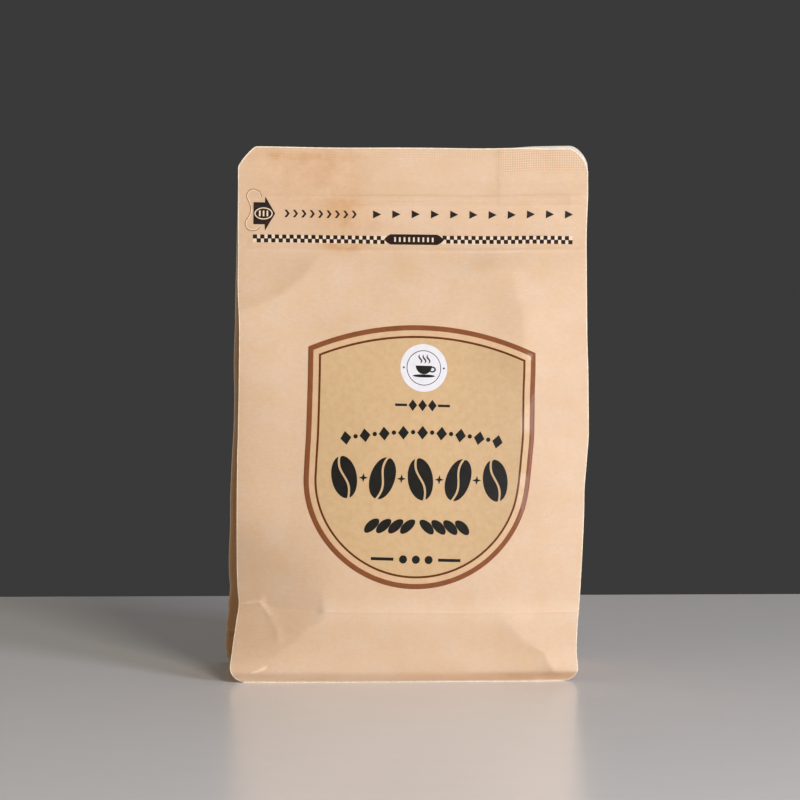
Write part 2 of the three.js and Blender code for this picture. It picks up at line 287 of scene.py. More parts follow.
def panel_grid(inset, foot):
    """(s, z) of a panel's grid, its outline drawn in by inset all round."""
    z = inset + ROWS * (HEIGHT - 2 * inset) / HEIGHT
    z = np.repeat(z[:, None], len(COLUMNS), 1)
    left = COLUMNS < 0
    width = half_width(z, inset, np.where(left, foot[-1], foot[1]),
                       np.where(left, TOP_BOW[-1], TOP_BOW[1]))
    size = np.abs(COLUMNS)[None]
    outer = STRAIGHT + (size - STRAIGHT) * (width - STRAIGHT) / (HALF - STRAIGHT)
    size = np.where(size <= STRAIGHT, size, outer)
    return np.sign(COLUMNS)[None] * size, z


def rim(grid):
    """Boundary loop of a grid, starting along its first row."""
    return np.concatenate([grid[0], grid[1:, -1], grid[-1, -2::-1], grid[-2:0:-1, 0]])


STAINS = [                   # amber spots: (strength, then what dent() takes)
    (1.1, -25.5, 159.4, 10, 2.2), (0.8, -26, 171, 8, 9), (0.5, -27, 189, 7, 9),
    (0.7, -40, 192.6, 20, 1.5), (0.35, -14, 167, 4, 3), (0.25, -18, 10.5, 16, 2.4),
    (0.35, -60, 17, 5, 10), (0.3, -47, 190, 14, 10), (0.45, -38, 181, 26, 15),
    (0.35, 46, 9.5, 6, 4, -35)]


def front_marks(s, z):
    """What age and the press left on the paper, with painted light, each 0 to 1: pale marks on the
    creases, partly wear and partly painted highlight, with a broader lighter band round the level
    crease and a lighter patch low on the left; amber stains, with painted shade on the turned-under
    foot; and how deep the seal bar's dots are."""
    # Painted highlights along the creases, partly real wear, a broad lighter band round the level
    # crease and a lighter patch low on the left.
    level = to_path(s, z, LEVEL_CREASE)[0]
    wear_and_highlight = 0.28 * np.exp(-(level / 0.38)**2)
    wear_and_highlight = np.maximum(wear_and_highlight, 0.16 * np.exp(-(level / 4.5)**2))
    wear_and_highlight = np.maximum(wear_and_highlight, 0.10 * smooth(1, 5, z) * smooth(15, 9, z) * smooth(-52, -30, s))
    wear_and_highlight = np.maximum(wear_and_highlight, 0.3 * np.exp(-(to_path(s, z, KINK[:3])[0] / 0.5)**2))
    wear_and_highlight = np.maximum(wear_and_highlight, 0.65 * np.exp(-(to_path(s, z, TOE_CREASE)[0] / 0.45)**2))
    # Painted shade on the foot's turned-under band, stronger towards the right; the spots below are
    # real amber stains.
    stain_and_shade = 0.6 * smooth(-5, 45, s) * smooth(4.4, 3.0, z) * smooth(-61, -57, s)
    for strength, *spot in STAINS:
        stain_and_shade += strength * dent(s, z, *spot)
    dots = smooth(186.6, 187.2, z) * smooth(29, 34, s)
    dots += 0.5 * smooth(191.6, 192.4, z) * smooth(34, 29, s)
    return np.stack([wear_and_highlight, np.minimum(stain_and_shade, 1), dots], -1)


def new_object(name, data):
    obj = bpy.data.objects.new(name, data)
    bpy.context.collection.objects.link(obj)
    return obj


def sheet_mesh(name, outer, inner, edge, materials, coords, flip=False, marks=None):
    """Closed thin sheet: outer and inner grids joined round the rim by a bevel
    and a cut edge. materials are outer face, inner face and edge. coords are the
    flat sheet's own places, for its pattern, and flip turns the faces round."""
    count = outer[..., 0].size
    cell = np.arange(count).reshape(outer.shape[:2])
    loop = rim(cell)
    middle = 2 * count + np.arange(len(loop))
    points = np.concatenate([outer.reshape(-1, 3), inner.reshape(-1, 3), edge]) / 1000
    a, b, c, d = (x.ravel() for x in (cell[:-1, :-1], cell[:-1, 1:], cell[1:, 1:], cell[1:, :-1]))
    front = np.stack([a, b, c, d], 1)
    back = np.stack([d, c, b, a], 1) + count
    after, after_middle = np.roll(loop, -1), np.roll(middle, -1)
    bevel = np.stack([loop, middle, after_middle, after], 1)
    wall = np.stack([middle, loop + count, after + count, after_middle], 1)
    faces = np.concatenate([front, back, bevel, wall])
    slot = np.repeat([0, 1, 2, 2], [len(front), len(back), len(bevel), len(wall)])
    if flip:
        faces = faces[:, ::-1]
    mesh = bpy.data.meshes.new(name)
    mesh.from_pydata(points.tolist(), [], faces.tolist())
    mesh.polygons.foreach_set("material_index", slot.astype(np.int32))
    mesh.polygons.foreach_set("use_smooth", slot != 2)
    flat = np.stack([c.ravel() for c in coords], 1)
    flat = np.concatenate([flat, flat, rim(np.stack(coords, -1))])
    layer = mesh.uv_layers.new(name="sheet")
    corner = np.empty(len(mesh.loops), np.int32)
    mesh.loops.foreach_get("vertex_index", corner)
    layer.data.foreach_set("uv", (flat[corner] / 1000).astype(np.float32).ravel())
    if marks:
        stored = mesh.attributes.new("marks", "FLOAT_VECTOR", "POINT")
        stored.data.foreach_set("vector", marks(*flat.T).astype(np.float32).ravel())
    for material in materials:
        mesh.materials.append(material)
    mesh.update()
    return new_object(name, mesh)


def linear(code):
    """An sRGB hex colour as linear RGBA."""
    channels = [int(code[i:i + 2], 16) / 255 for i in (1, 3, 5)]
    return [c / 12.92 if c <= 0.04045 else ((c + 0.055) / 1.055)**2.4 for c in channels] + [1.0]


def new_material(name):
    material = bpy.data.materials.new(name)
    material.use_nodes = True
    return material, material.node_tree, material.node_tree.nodes["Principled BSDF"]


def feed(node, **inputs):
    """Sets or links a node's sockets, given by name, or as _6 for number 6."""
    for key, value in inputs.items():
        socket = node.inputs[int(key[1:])] if key[0] == "_" else node.inputs[key.replace("_", " ")]
        if isinstance(value, bpy.types.NodeSocket):
            node.id_data.links.new(value, socket)
        else:
            socket.default_value = value


def add(tree, kind, settings=None, out=0, stops=(), **inputs):
    """Adds a node and returns its output out. settings are its properties, stops
    the colours of its ramp, and inputs what feed() takes."""
    node = tree.nodes.new(kind)
    for key, value in (settings or {}).items():
        setattr(node, key, value)
    for i, (at, colour) in enumerate(stops):
        point = node.color_ramp.elements[i] if i < 2 else node.color_ramp.elements.new(at)
        point.position, point.color = at, colour
    feed(node, **inputs)
    return node.outputs[out]


RAMP, NOISE, MIX, MATH = ("ShaderNodeValToRGB", "ShaderNodeTexNoise", "ShaderNodeMix",
                          "ShaderNodeMath")
TINT = {"data_type": "RGBA", "blend_type": "MULTIPLY"}
TIMES, TIMES_PLUS = {"operation": "MULTIPLY"}, {"operation": "MULTIPLY_ADD"}


def grey(v):
    return (v, v, v, 1.0)


def mottled(name, low, high, grain, roughness, stops=(0.35, 0.70), detail=3.0, uneven=0.7,
            specular=0.5):
    """A plain material whose colour wanders from low to high in grains of some mm."""
    material, tree, shader = new_material(name)
    where = add(tree, "ShaderNodeTexCoord", out="Object")
    wander = add(tree, NOISE, Vector=where, Scale=1000 / grain, Detail=detail, Roughness=uneven)
    colour = add(tree, RAMP, Fac=wander, stops=zip(stops, (linear(low), linear(high))))
    feed(shader, Base_Color=colour, Roughness=roughness, Specular_IOR_Level=specular)
    return material


# Unbleached kraft paper, calendered: matt, with long fibres lying every way, a
# cloudy mottle and a few dark specks. The pattern follows the flat sheet.
def kraft(name, low, high):
    material, tree, shader = new_material(name)
    # Scales are per mm: clouds of 18 mm, blushes of 8 mm, a mottle of 2 mm.
    flat = add(tree, "ShaderNodeUVMap", {"uv_map": "sheet"})
    mm = add(tree, "ShaderNodeMapping", Vector=flat, Scale=(1000, 1000, 1))
    cloud = add(tree, NOISE, Vector=mm, Scale=0.055, Detail=4.0, Roughness=0.6)
    blush = add(tree, NOISE, Vector=mm, Scale=0.13, Detail=3.0, Roughness=0.55)
    mottle = add(tree, NOISE, Vector=mm, Scale=0.55, Detail=3.0, Roughness=0.6)
    specks = add(tree, "ShaderNodeTexVoronoi", {"feature": "F1"}, Vector=mm, Scale=0.16,
                 Randomness=1.0)
    # Fibres 0.5 mm wide: coarser than the real ones, so that they show.
    fibres = None
    for turn, stretch in ((0.35, 0.16), (-0.5, 0.22), (1.45, 0.2)):
        turned = add(tree, "ShaderNodeMapping", Vector=mm, Rotation=(0, 0, turn),
                     Scale=(stretch * 1.9, 1.9, 1))
        lying = add(tree, NOISE, Vector=turned, Scale=1.0, Detail=2.0, Roughness=0.65)
        fibres = lying if fibres is None else add(
            tree, MATH, {"operation": "MAXIMUM"}, _0=fibres, _1=lying)
    marks = add(tree, "ShaderNodeAttribute", {"attribute_name": "marks"}, out="Vector")
    marks = add(tree, "ShaderNodeSeparateXYZ", Vector=marks).node.outputs
    # Amber stains, with painted shade on the turned-under foot, made patchy by the blush.
    patchy = add(tree, RAMP, Fac=blush, stops=((0.36, grey(0.25)), (0.60, grey(1.0))))
    stained_and_shaded = add(tree, MATH, TIMES, _0=marks["Y"], _1=patchy)
    # The seal bar's fine mesh: raised dots 0.88 mm apart, in square rows.
    apart = add(tree, "ShaderNodeSeparateXYZ", Vector=mm).node.outputs
    waves = []
    for axis in ("X", "Y"):
        angle = add(tree, MATH, TIMES, _0=apart[axis], _1=2 * math.pi / 0.88)
        wave = add(tree, MATH, {"operation": "SINE"}, _0=angle)
        waves.append(add(tree, MATH, TIMES_PLUS, _0=wave, _1=0.5, _2=0.5))
    dots = add(tree, MATH, TIMES, _0=waves[0], _1=waves[1])
    dots = add(tree, MATH, {"operation": "SUBTRACT"}, _0=dots, _1=0.3)
    pressed = add(tree, MATH, TIMES, _0=dots, _1=marks["Z"])
    colour = add(tree, RAMP, Fac=cloud, stops=((0.30, linear(low)), (0.70, linear(high))))
    layers = [add(tree, RAMP, Fac=value, stops=stops) for value, *stops in (
        (blush, (0.34, linear("#fffaf2")), (0.66, linear("#ffffff"))),
        (mottle, (0.3, grey(0.95)), (0.7, grey(1.0))),
        (fibres, (0.50, grey(0.95)), (0.72, grey(1.0))),
        (specks, (0.02, grey(0.82)), (0.06, grey(1.0))),
        (stained_and_shaded, (0.0, grey(1.0)), (1.0, linear("#f0dcc0"))))]
    # The dots are also painted lighter: partly the pressed paper's own tone, partly painted highlight
    # on their raised tops.
    layers.append(add(tree, MATH, TIMES_PLUS, _0=pressed, _1=0.36, _2=1.0))
    for layer in layers:
        colour = add(tree, MIX, TINT, 2, _0=1.0, _6=colour, _7=layer)
    # Pale crease marks: partly wear, partly painted highlight.
    worn_and_highlit = add(tree, MIX, {"data_type": "RGBA"}, 2, _0=marks["X"], _6=colour, _7=linear("#f3dcc2"))
    rough = add(tree, RAMP, Fac=mottle, stops=((0.3, grey(0.60)), (0.7, grey(0.72))))
    grain = add(tree, MATH, {"operation": "ADD"}, _0=fibres, _1=mottle)
    height = add(tree, MATH, TIMES, _0=grain, _1=0.012)
    height = add(tree, MATH, TIMES_PLUS, _0=pressed, _1=0.03, _2=height)
    bump = add(tree, "ShaderNodeBump", Strength=1.0, Distance=0.001, Height=height)
    feed(shader, Base_Color=worn_and_highlit, Roughness=rough, Specular_IOR_Level=0.35, Normal=bump)
    return material


KRAFT = kraft("kraft_paper_laminate", "#d3b495", "#d8bca1")

# The lining: milky polythene film, smooth and a little shiny.
LINING = mottled("white_film_lining", "#c9c1b6", "#d1c9be", 3.33, 0.38)

# The cut edge: the paper's pale core, frayed to short fibres by the die.
CUT_EDGE = mottled("cut_paper_edge", "#ddc9ae", "#f0e2cb", 1.111, 0.85, (0.35, 0.65), 2.0, 0.5)
PAPER = (KRAFT, LINING, CUT_EDGE)
BEVEL = 0.34                 # width of the pale line round a big panel's cut edge


def big_panel(name, point, marks):
    front = name == "front_panel"
    foot = FRONT_FOOT if front else REAR_FOOT
    sides = [panel_grid(inset, foot) for inset in (BEVEL, 0.05, 0.0)]   # face, film, edge
    if front:
        # The foot hangs just clear of the table, with a finer pale line along it. At
        # the top right the sheet is cut a little short and shows the film behind.
        sides[0][1][0] -= 0.14
        for s, z in sides:
            z += 0.4 * smooth(7, 0, z)
            z -= 0.95 * smooth(32, 52, s) * smooth(189, HEIGHT, z)
            s -= 0.75 * smooth(186, 190, z) * smooth(50, 60, s)
    outer = point(*sides[0])
    inner = point(*sides[1], off=-SHEET)
    edge = point(*(rim(c) for c in sides[2]), off=-0.03)
    return sheet_mesh(name, outer, inner, edge, PAPER, sides[0], not front, marks)


front_panel = big_panel("front_panel", front_point, front_marks)
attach(front_panel, "root")
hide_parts("bag_body")

# ------------------------------------------------------------
# Opening guide, printed on the front in a thin film of dark ink. A checked
# strip with a plain lozenge lies along the zipper, and over it a row of marks
# leads from the pull arrow to the right edge.
# ------------------------------------------------------------
UNDER_OFF, INK_OFF, OVER_OFF = 0.03, 0.05, 0.09     # how far each film lies off the paper
# The dark ink is thin in places, so that the paper glints through.
POUCH_INK = mottled("pouch_printing_ink", "#1b100a", "#33221a", 1.333, 0.55, (0.42, 0.70),
                    specular=0.25)
# A thin light film along the zipper, and bare paper left unprinted in the ink.
STRIP_TONE = mottled("pale_strip_ink", "#dcc3a7", "#e6cfb6", 1.667, 0.7)
PALE_INK = mottled("unprinted_paper_in_the_ink", "#d8bd9f", "#ead3ba", 2.0, 0.7)


def flat_shape(loops, longest=1.6):
    """Flat mesh in mm that fills the outer loop, less the loops inside it. Its
    edges are cut to the longest length, so that it can follow a curved sheet."""
    shape = bmesh.new()
    edges = []
    for loop in loops:
        corners = [shape.verts.new((x, y, 0)) for x, y in loop]
        edges += [shape.edges.new((p, q)) for p, q in zip(corners, corners[1:] + corners[:1])]
    bmesh.ops.triangle_fill(shape, edges=edges, use_beauty=True, use_dissolve=False, normal=(0, 0, 1))
    for _ in range(5):
        long = [e for e in shape.edges if e.calc_length() > longest]
        if not long:
            break
        bmesh.ops.subdivide_edges(shape, edges=long, cuts=1)
        bmesh.ops.triangulate(shape, faces=[f for f in shape.faces if len(f.verts) > 3])
    for face in shape.faces:
        if face.normal.z < 0:
            face.normal_flip()
    return shape


def ellipse(x, y, a, b, count=40):
    turns = [2 * math.pi * i / count for i in range(count)]
    return [(x + a * math.cos(t), y + b * math.sin(t)) for t in turns]


def box(x0, y0, x1, y1):
    return [(x0, y0), (x1, y0), (x1, y1), (x0, y1)]


def flat_object(name, shapes, material):
    """One object from (outer loop, holes...) shapes, flat, in mm."""
    mesh = bpy.data.meshes.new(name)
    joined = bmesh.new()
    for loops in shapes:
        piece = flat_shape(loops)
        part = bpy.data.meshes.new("part")
        piece.to_mesh(part)
        piece.free()
        joined.from_mesh(part)
        bpy.data.meshes.remove(part)
    joined.to_mesh(mesh)
    joined.free()
    mesh.materials.append(material)
    return new_object(name, mesh)


def repeat_tree():
    """Node tree that repeats the object's own mesh along a bowed line."""
    tree = bpy.data.node_groups.new("repeat_along_bow", "GeometryNodeTree")
    for name, kind in (("Stamp", "Geometry"), ("Start", "Vector"), ("Middle", "Vector"),
                       ("End", "Vector"), ("Count", "Int"), ("Material", "Material")):
        tree.interface.new_socket(name, in_out="INPUT", socket_type="NodeSocket" + kind)
    tree.interface.new_socket("Print", in_out="OUTPUT", socket_type="NodeSocketGeometry")
    given = tree.nodes.new("NodeGroupInput").outputs
    bow = add(tree, "GeometryNodeCurveQuadraticBezier", Resolution=64, Start=given["Start"],
              Middle=given["Middle"], End=given["End"])
    spread = add(tree, "GeometryNodeResampleCurve", {"mode": "COUNT"}, Curve=bow,
                 Count=given["Count"])
    turn = add(tree, "FunctionNodeAlignRotationToVector", {"axis": "X", "pivot_axis": "Z"},
               Vector=add(tree, "GeometryNodeInputTangent"))
    stamps = add(tree, "GeometryNodeInstanceOnPoints", Points=spread, Instance=given["Stamp"],
                 Rotation=turn)
    real = add(tree, "GeometryNodeRealizeInstances", Geometry=stamps)
    painted = add(tree, "GeometryNodeSetMaterial", Geometry=real, Material=given["Material"])
    feed(tree.nodes.new("NodeGroupOutput"), Print=painted)
    return tree


REPEAT = repeat_tree()


def row(name, shapes, count, start, middle, end, material):
    """Flat shapes repeated count times along a bowed line, as one plain mesh."""
    obj = flat_object(name, shapes, material)
    sockets = {item.name: item.identifier for item in REPEAT.interface.items_tree
               if item.in_out == "INPUT"}
    modifier = obj.modifiers.new("repeat", "NODES")
    modifier.node_group = REPEAT
    for key, value in (("Start", start), ("Middle", middle), ("End", end)):
        modifier[sockets[key]] = (*map(float, value), 0.0)
    modifier[sockets["Count"]] = count
    modifier[sockets["Material"]] = material
    graph = bpy.context.evaluated_depsgraph_get()
    made = bpy.data.meshes.new_from_object(obj.evaluated_get(graph))
    obj.modifiers.remove(modifier)
    obj.data = made
    return obj


def lay(obj, surface, off):
    """Lays a flat mesh given in mm on a surface, off millimetres in front of it."""
    flat = np.empty(len(obj.data.vertices) * 3, np.float32)
    obj.data.vertices.foreach_get("co", flat)
    flat = flat.reshape(-1, 3).astype(float)
    laid = surface(flat[:, 0], flat[:, 1], off) / 1000
    obj.data.vertices.foreach_set("co", laid.astype(np.float32).ravel())
    obj.data.shade_smooth()
    obj.data.update()


def pouch_print(obj, off=INK_OFF):
    lay(obj, front_point, off)
    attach(obj, "root")
    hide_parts("bag_body")


# The checks stand on a paler strip. A stamp of them is two squares, corner to corner.
pouch_print(flat_object("zipper_strip", [
    [[(-59.5, 160.35), (-10.0, 160.2), (-10.0, 163.1), (-59.5, 163.3)]],
    [[(10.0, 160.2), (59.6, 159.95), (59.6, 162.75), (10.0, 163.1)]]], STRIP_TONE), UNDER_OFF)
SQUARE = 1.35                # pitch of the squares
PAIR = [[box(-0.1, -0.04, SQUARE + 0.1, 1.46)], [box(SQUARE - 0.1, -1.46, 2 * SQUARE + 0.1, 0.04)]]
for name, start, middle, end in (
        ("zipper_checks_left", (-59.4, 161.8), (-36.5, 162.0), (-13.6, 161.6)),
        ("zipper_checks_right", (10.9, 161.8), (33.85, 161.85), (56.8, 161.3))):
    pouch_print(row(name, PAIR, 18, start, middle, end, POUCH_INK))

# A plain lozenge breaks the strip, with a row of pale teeth in it.
LOZENGE = [(-11.0, 161.7), (-10.0, 162.9), (-8.6, 163.7), (8.8, 163.6), (10.2, 162.8),
           (11.3, 161.65), (10.2, 160.5), (8.8, 159.8), (-8.6, 159.9), (-10.0, 160.7)]
pouch_print(flat_object("zipper_lozenge", [[LOZENGE]], POUCH_INK))
pouch_print(row("zipper_lozenge_teeth", [[box(-0.32, -0.85, 0.32, 0.85)]], 9,
                (-6.9, 161.75), (0, 161.7), (7.1, 161.65), PALE_INK), OVER_OFF)

TRIANGLE = [(0, -1.5), (3.05, 0), (0, 1.5)]
pouch_print(row("tear_marks", [[TRIANGLE]], 11, (-15.1, 171.05), (20, 171.3), (56.6, 170.7),
                POUCH_INK))
CHEVRON = [(-1.0, -1.4), (-0.1, -1.4), (0.95, 0), (-0.1, 1.4), (-1.0, 1.4), (0.05, 0)]
pouch_print(row("tear_chevrons", [[CHEVRON]], 9, (-46.9, 171.15), (-34.5, 171.1), (-22.1, 171.05),
                POUCH_INK))

# The die cut that lets the tear tab loose, drawn as a fine painted shadow line with a painted
# highlight beside it.
TAB_CUT = [
    (-56.3, 176.6), (-56.5, 177.9), (-57.3, 179.4), (-59.2, 180.2), (-60.7, 179.8),
    (-61.7, 178.7), (-62.0, 177.4), (-61.5, 176.1), (-60.7, 174.5), (-60.3, 173.1),
    (-60.5, 171.4), (-61.1, 169.8), (-62.1, 168.5), (-62.5, 167.0), (-62.0, 165.8),
    (-61.0, 164.8), (-59.7, 164.6), (-58.4, 164.8), (-57.5, 165.4), (-57.0, 166.2)]


def ribbon(path, width, shift):
    """Outline of a band along a rounded path, shifted to the left of its direction."""
    path = np.array(path)
    for _ in range(2):                               # cuts the corners, twice
        cut = np.empty((2 * len(path) - 2, 2))
        cut[0::2], cut[1::2] = (3 * path[:-1] + path[1:]) / 4, (path[:-1] + 3 * path[1:]) / 4
        path = cut
    way = np.gradient(path, axis=0)
    across = np.stack([-way[:, 1], way[:, 0]], 1) / np.linalg.norm(way, axis=1, keepdims=True)
    sides = path + across * (shift + width / 2), path + across * (shift - width / 2)
    return [tuple(p) for p in [*sides[0], *sides[1][::-1]]]


# Painted shadow along the cut in the paper's own brown made darker, and a painted highlight beside it
# in a pale tone.
CUT_SHADOW = mottled("kraft_in_the_cut_shadow", "#865f43", "#946f4f", 1.111, 0.8)
CUT_HIGHLIGHT = mottled("kraft_cut_painted_highlight", "#e0c5a8", "#ecd3b8", 1.111, 0.75)
pouch_print(flat_object("tab_cut_line", [[ribbon(TAB_CUT, 0.3, 0.0)]], CUT_SHADOW), UNDER_OFF)
pouch_print(flat_object("tab_cut_painted_highlight", [[ribbon(TAB_CUT, 0.3, 0.32)]], CUT_HIGHLIGHT), UNDER_OFF)

# Pull arrow, with a pale oval ring and three short bars in it.
ARROW = [(-59.35, 167.05), (-55.2, 167.0), (-55.1, 164.7), (-51.3, 171.05), (-55.0, 177.35),
         (-55.15, 175.2), (-59.35, 175.25)]
EYE = (-55.6, 171.05)
pouch_print(flat_object("pull_arrow", [[ARROW]], POUCH_INK))
pouch_print(flat_object("pull_arrow_oval", [[ellipse(*EYE, 3.35, 2.25), ellipse(*EYE, 2.95, 1.85)]],
                        PALE_INK), OVER_OFF)
pouch_print(row("pull_arrow_bars", [[box(-0.3, -1.05, 0.3, 1.05)]], 3,
                (EYE[0] - 1.4, EYE[1]), EYE, (EYE[0] + 1.4, EYE[1]), PALE_INK), OVER_OFF)

# ------------------------------------------------------------
# Back panel. The same laminate sheet behind, unprinted, sealed to the gussets
# by its own fins, and a little fuller than the front.
# ------------------------------------------------------------
BACK_CREASE = [(-65, 26.4), (0, 26.9), (65, 27.4)]
BACK_FULLER = [[0, 0], [20, 0.75], [90, 0.75], [160, 0], [HEIGHT, 0]]


def back_relief(s, z):
    out = common_relief(s, z)
    out += ridge(s, z, BACK_CREASE, 0.35, 2.6, 0) + ridge(s, z, BACK_CREASE, 0.12, 0.45, 0)
    out += ridge(s, z, [(-51, 5), (-33, 26)], 0.35, 1.6)
    out += ridge(s, z, [(50, 5), (35, 26)], 0.4, 1.6)
    out -= 0.9 * dent(s, z, 47, 143, 18, 5, -32)
    out -= 0.7 * dent(s, z, -42, 131, 15, 6, 40)
    out -= 0.6 * dent(s, z, -54, 58, 7, 16, 0)
    # A crease runs across the left rear fin.
    out += 0.9 * np.exp(-np.abs(z - 11.0) / 0.6) * smooth(-56, -59, s)
    out += 0.09 * ripple(s, z, 21, 36) + 0.02 * ripple(s, z, 22, 9)
    return out


def back_point(s, z, off=0.0):
    def surface(a, b):
        fuller = curve(BACK_FULLER, b) * (1 - np.minimum(np.abs(a) / ROOT, 1)**2)
        return place(a, b, swell(a, b) + fuller + back_relief(a, b))

    return lifted(surface, s, z, off, -1)


def back_marks(s, z):
    # A pale line on the crease, partly wear and partly painted highlight, and painted shade on the
    # turned-under foot.
    wear_and_highlight = 0.28 * np.exp(-((z - 26.9) / 0.38)**2)
    return np.stack([wear_and_highlight, 0.6 * smooth(4.4, 3.0, z), 0.6 * smooth(186.6, 187.2, z)], -1)


back_panel = big_panel("back_panel", back_point, back_marks)
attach(back_panel, "root")
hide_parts("bag_body")

# ------------------------------------------------------------
# Side gussets. Each is a folded sheet whose flanges are sealed to the panels'
# fins. Its middle fold is drawn in between the panels, and near the floor it
# opens into a flat triangle that leans in to the fold.
# ------------------------------------------------------------
GUSSET_INSET = [             # how far the middle fold is drawn in, by height
    [0, 0.8], [10, 2.2], [19, 4.4], [35, 7], [58.7, 15], [93, 24], [127, 26.5],
    [146.6, 28], [168, 29.3], [181.5, 29.8], [HEIGHT, 29.8]]
FOLD_HEIGHT = 30.0           # the triangle's apex
GUSSET_SHEET = 0.9 * SHEET   # thickness of a gusset's sheet
CREASE_AT = 10.8             # height of the sharp crease across the left rear fin
# Grid lines across a flange, across half the fold, and up the sheet.
FLANGE = spaced((0, 1, 0.25))
HALF_FOLD = spaced((0, 0.1, 0.025), (0.1, 0.9, 0.05), (0.9, 1, 0.02))
GUSSET_ROWS = spaced((0, 6, 0.6), (6, 10, 0.7), (10, 11.2, 0.15), (11.2, 18, 0.6), (18, 34, 0.8),
                     (34, 178, 1.5), (178, 188, 0.7), (188, HEIGHT, 0.5))


def gusset_point(side, w, z):
    """Point of a gusset's sheet. w runs from -2 (front fin's edge) by -1 (front
    root), 0 (fold) and 1 (back root) to 2 (back fin's edge)."""
    front = w < 0
    size = np.abs(w)
    foot = np.where(front, FRONT_FOOT[side], REAR_FOOT[side])
    edge = half_width(z, 0.0, foot, TOP_BOW[side]) - 0.2
    root = np.minimum(ROOT, edge)
    line = side * (root + np.clip(size - 1, 0, 1) * (edge - root))
    inset = curve(GUSSET_INSET, z)
    q = 1 - np.minimum(size, 1)
    # V fold, a little full, cut off by the leaning triangle near the floor.
    folded = inset * (q - 0.10 * np.sin(math.pi * q))
    leaning = inset * np.minimum(z / FOLD_HEIGHT, 1) + np.where(z > FOLD_HEIGHT, 99, 0)
    folded = np.minimum(folded, leaning)
    wrinkle = ripple(w * 30, z, 31 + side, 16) * 0.28 * np.sin(math.pi * q)**0.5
    wrinkle += 0.8 * np.exp(-np.abs(z - 19 - 3 * w) / 1.6) * smooth(0, 0.3, q)
    wrinkle *= smooth(0, 12, z) * smooth(176, 150, z)
    gap = 2 * SHEET + 0.01       # the flanges lie behind the panels' own sheets
    deep_front = swell(line, z) + front_relief(line, z) - gap
    deep_back = swell(line, z) + back_relief(line, z) - gap
    if side < 0:
        # A sharp crease across the left rear fin: the sheet above it laps over.
        lap = smooth(CREASE_AT - 0.4, CREASE_AT, z) * np.exp(-np.maximum(z - CREASE_AT, 0) / 5)
        deep_back = deep_back - 1.6 * lap * smooth(0.5, 0.85, w)
    deep = np.maximum(np.where(front, deep_front, deep_back), 0.015)
    y = np.where(front, -1, 1) * deep * np.minimum(size, 1)
    return place(line + side * (wrinkle * 0.8 - folded), z, y)


# The same kraft paper, made darker and browner: painted shade for the gussets, which stand in shade.
KRAFT_SIDE_SHADED = kraft("kraft_paper_gussets_painted_shade", "#cda883", "#d4b18e")


def gusset(name, side):
    w = np.concatenate([-1 - FLANGE[::-1], -1 + HALF_FOLD[1:], 1 - HALF_FOLD[-2::-1], 1 + FLANGE[1:]])
    w, z = (c.T for c in np.meshgrid(w, GUSSET_ROWS, indexing="ij"))
    outer = gusset_point(side, w, z)
    along = np.gradient(outer, axis=0)
    across = np.gradient(outer, axis=1)
    normal = np.cross(across, along)
    normal /= np.maximum(np.linalg.norm(normal, axis=-1, keepdims=True), 1e-9)
    if side < 0:
        normal = -normal
    inner = outer - normal * GUSSET_SHEET
    coords = (w * 30 + side * 200, z)
    edge = rim((outer + inner) / 2)
    return sheet_mesh(name, outer, inner, edge, (KRAFT_SIDE_SHADED, LINING, CUT_EDGE), coords,
                      flip=side < 0)


for name, side in (("left_gusset", -1), ("right_gusset", 1)):
    piece = gusset(name, side)
    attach(piece, "root")
    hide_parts("bag_body")

# ------------------------------------------------------------
# Bottom panel. A sheet of the same paper whose edges are sealed inside the foot
# of the others, so that a low seam stands all round a flat pad. A long centre
# crease and four corner creases remain from the folded blank.
# ------------------------------------------------------------
SEAM = 4.9                   # the bottom's seam stands this far in from a fin's edge
# How high the sheet stands, by the distance in from its seam.
PAD_PROFILE = [[0, 0], [0.5, 2.4], [1.3, 3.3], [3, 2.9], [6.5, 1.2], [9.5, 0.12], [30, 0.06]]


def bottom_sheet():
    # Distances in from the seam, to the centre line; the far half mirrors them.
    inward = np.concatenate([[0, 0.15, 0.3, 0.5, 0.8, 1.3, 2, 3, 4.5, 6.5, 8, 9.5],
                             spaced((11, 27.4, 1.6))])
    t = spaced((-1, -0.9, 0.008), (-0.9, 0.9, 0.04), (0.9, 1, 0.008))
    left, right = LEFT_EDGE[0][1] + SEAM, RIGHT_EDGE[0][1] - SEAM
    x = (left + right) / 2 + t * (right - left) / 2
    # The seam line stands just inside the front and back panels' feet.
    s_at = t * (HALF - SEAM)
    front = -front_point(s_at, 0.4)[:, 1] - SHEET - 0.12
    back = back_point(s_at, 0.4)[:, 1] - SHEET - 0.12
    share = inward / inward[-1]
    y = np.concatenate([-front * (1 - share[:, None]), back * (1 - share[::-1, None])])
    gap_y = np.concatenate([front * share[:, None], back * share[::-1, None]])
    xx = np.repeat(x[None], len(y), 0) + drawn_in(s_at[None], 0.0, y)
    gap_x = np.repeat(np.minimum(x - left, right - x)[None], len(y), 0)
    z = curve(PAD_PROFILE, np.minimum(gap_x, gap_y))
    # Fold lines of the blank: they stand up a little from the pad.
    z += 0.5 * np.exp(-np.abs(y) / 0.7) * smooth(2, 8, gap_x)
    z += 0.5 * np.exp(-np.abs(gap_x - gap_y) / 0.9) * smooth(1, 6, gap_y)
    outer = np.stack([xx, y, z], -1)
    inner = outer + np.array([0, 0, SHEET])
    return sheet_mesh("bottom_panel", outer, inner, rim((outer + inner) / 2), PAPER,
                      (xx + 400, y), flip=True)


bottom_panel = bottom_sheet()
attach(bottom_panel, "root")
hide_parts("bag_body")

